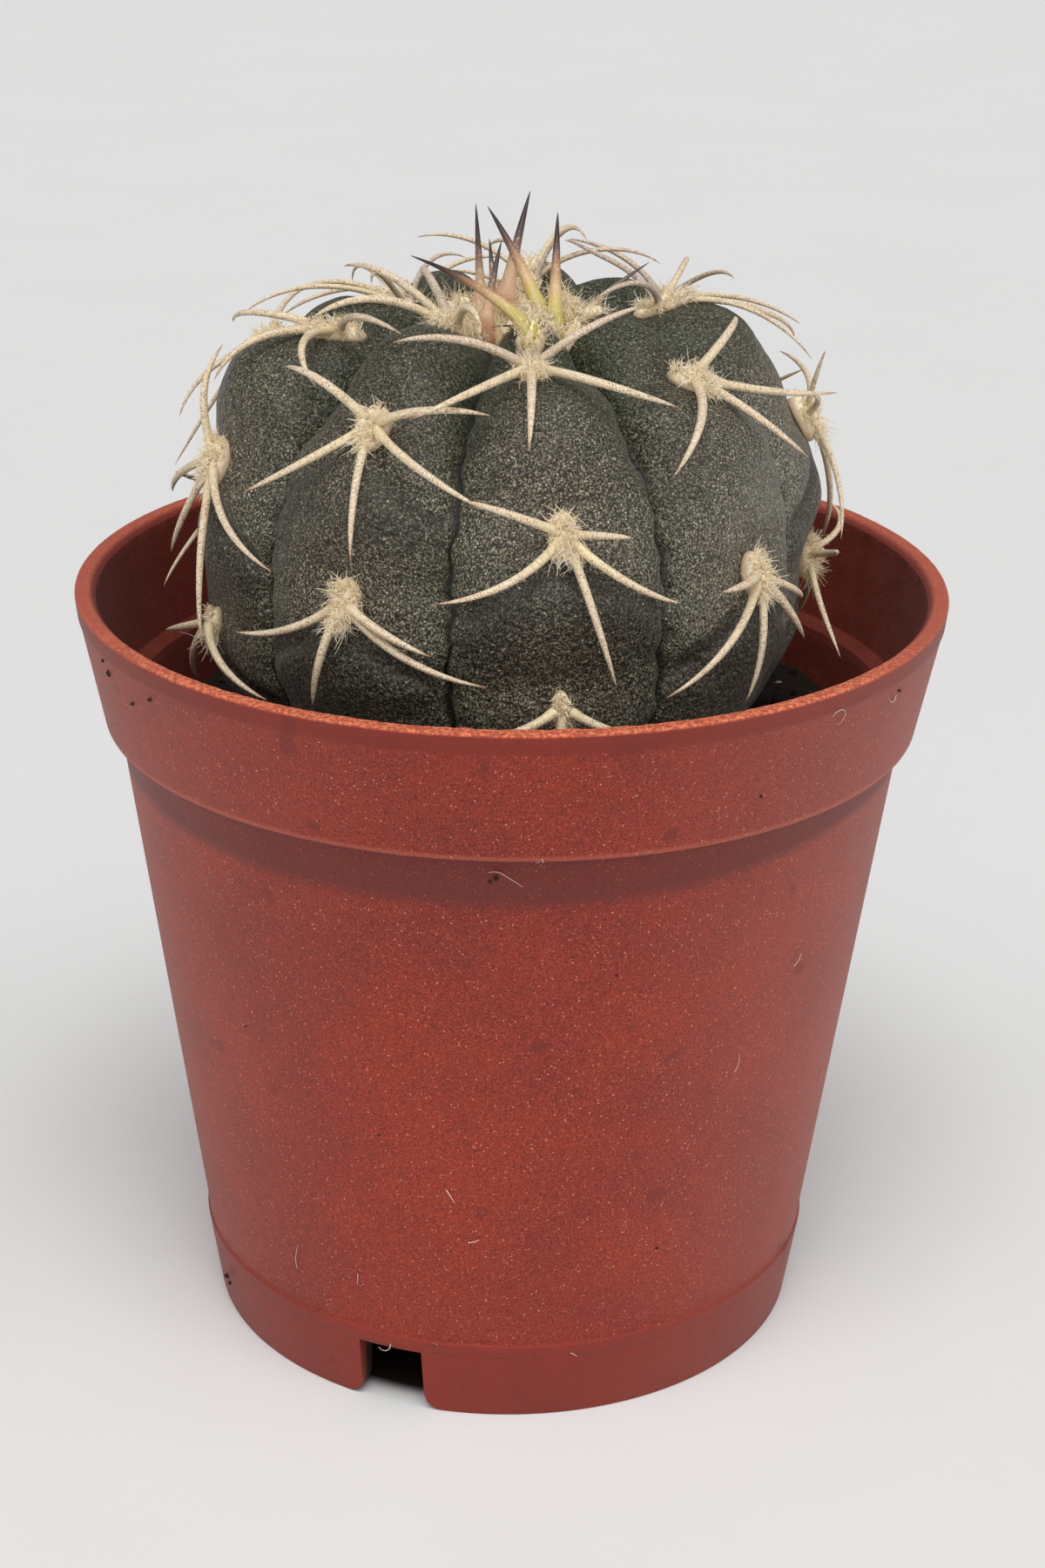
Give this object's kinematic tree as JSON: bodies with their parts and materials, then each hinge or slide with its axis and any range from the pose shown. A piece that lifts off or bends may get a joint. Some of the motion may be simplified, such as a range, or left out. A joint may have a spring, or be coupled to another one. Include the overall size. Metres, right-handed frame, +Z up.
{
  "type": "potted round cactus",
  "caption": "Low ribbed globe cactus with stiff curved spines, set deep in a tapered plastic nursery pot with a flared rim.",
  "frame": {"origin": "bottom centre of the pot, on the surface it stands on", "axes": "+Z up along the pot's axis; -Y is the front, the side the picture shows; +X is to the right seen from the front"},
  "size_m": [0.055, 0.055, 0.0735],
  "materials": {
    "terracotta_plastic": "satin",
    "potting_soil": "matte",
    "cactus_skin": "matte",
    "bone_spine": "matte",
    "young_spine": "matte"
  },
  "bodies": {
    "root": {"pot": "terracotta_plastic", "soil": "potting_soil", "cactus_stem": "cactus_skin", "spines_crown": "young_spine", "spines_rib1_upper": "bone_spine", "spines_rib1_middle": "bone_spine", "spines_rib1_lower": "bone_spine", "spines_rib2_upper": "bone_spine", "spines_rib2_middle": "bone_spine", "spines_rib3_upper": "bone_spine", "spines_rib3_middle": "bone_spine", "spines_rib3_lower": "bone_spine", "spines_rib4_upper": "bone_spine", "spines_rib4_middle": "bone_spine", "spines_rib4_lower": "bone_spine", "spines_rib5_upper": "bone_spine", "spines_rib5_middle": "bone_spine", "spines_rib5_lower": "bone_spine", "spines_rib6_upper": "bone_spine", "spines_rib6_middle": "bone_spine", "spines_rib6_lower": "bone_spine", "spines_rib7_upper": "bone_spine", "spines_rib7_middle": "bone_spine", "spines_rib7_lower": "bone_spine", "spines_rib8_upper": "bone_spine", "spines_rib8_middle": "bone_spine", "spines_rib8_lower": "bone_spine", "spines_rib9_upper": "bone_spine", "spines_rib9_middle": "bone_spine", "spines_rib9_lower": "bone_spine"}
  },
  "joints": []
}
